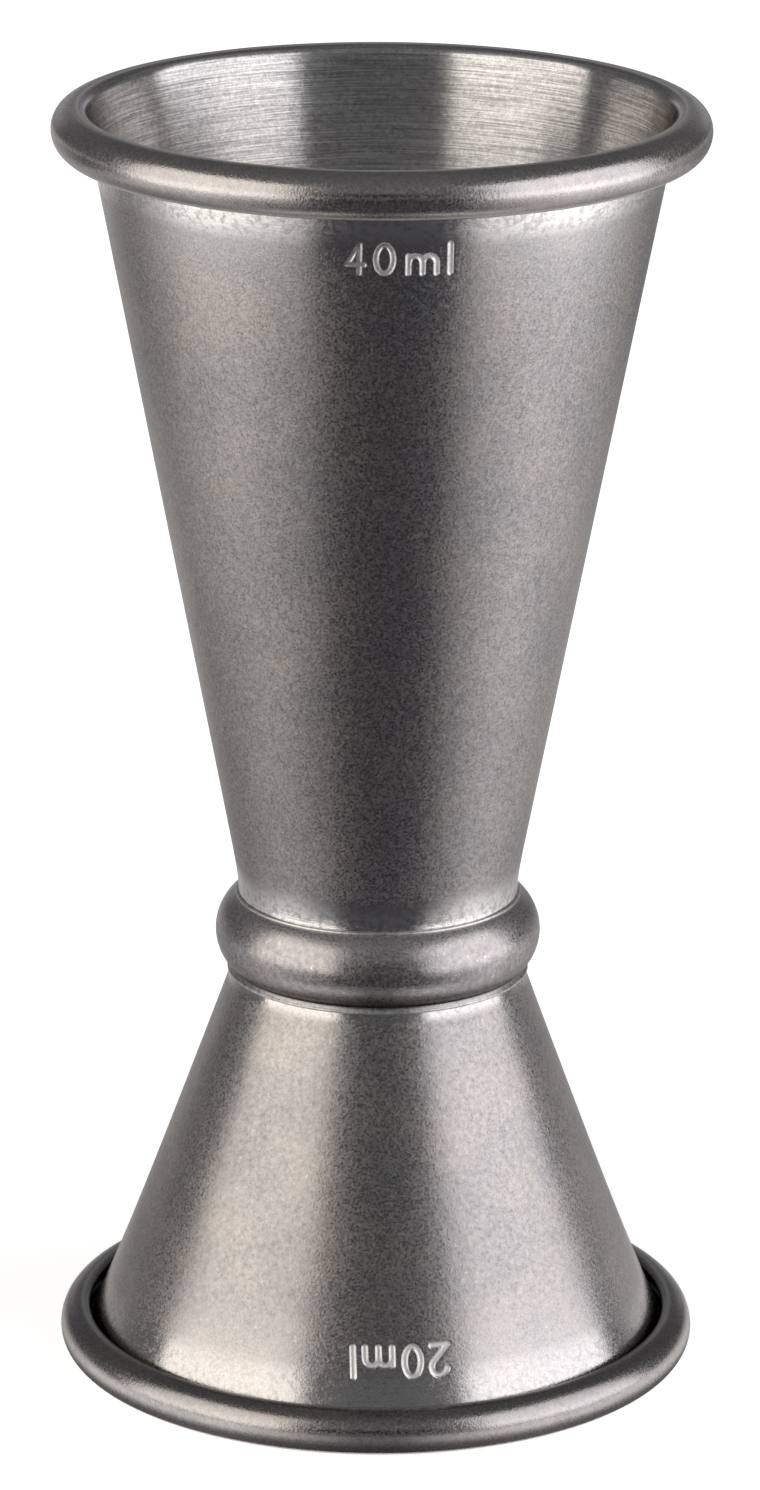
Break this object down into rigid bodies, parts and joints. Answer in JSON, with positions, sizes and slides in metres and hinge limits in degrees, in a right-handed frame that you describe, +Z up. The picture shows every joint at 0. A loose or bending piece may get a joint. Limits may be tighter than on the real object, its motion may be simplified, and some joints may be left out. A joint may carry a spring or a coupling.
{
  "type": "bar measure",
  "caption": "Double-ended measure for pouring spirits: a tall and a short steel cone joined floor to floor, with curled rims and a half-round collar at the waist.",
  "frame": {"origin": "centre of the ring on which the small cup's rim stands", "axes": "+Z up along the common axis of both cups, towards the mouth of the large cup; +X and +Y are free about that axis"},
  "size_m": [0.046, 0.046, 0.092],
  "materials": {
    "cup_steel": "tumbled dark satin outside, turned lines inside",
    "collar_steel": "tumbled dark satin",
    "braze_metal": "dull as-run filler metal, out of sight"
  },
  "bodies": {
    "root": {"upper_cup": "cup_steel", "lower_cup": "cup_steel", "waist_collar": "collar_steel", "floor_braze": "braze_metal"}
  },
  "joints": []
}
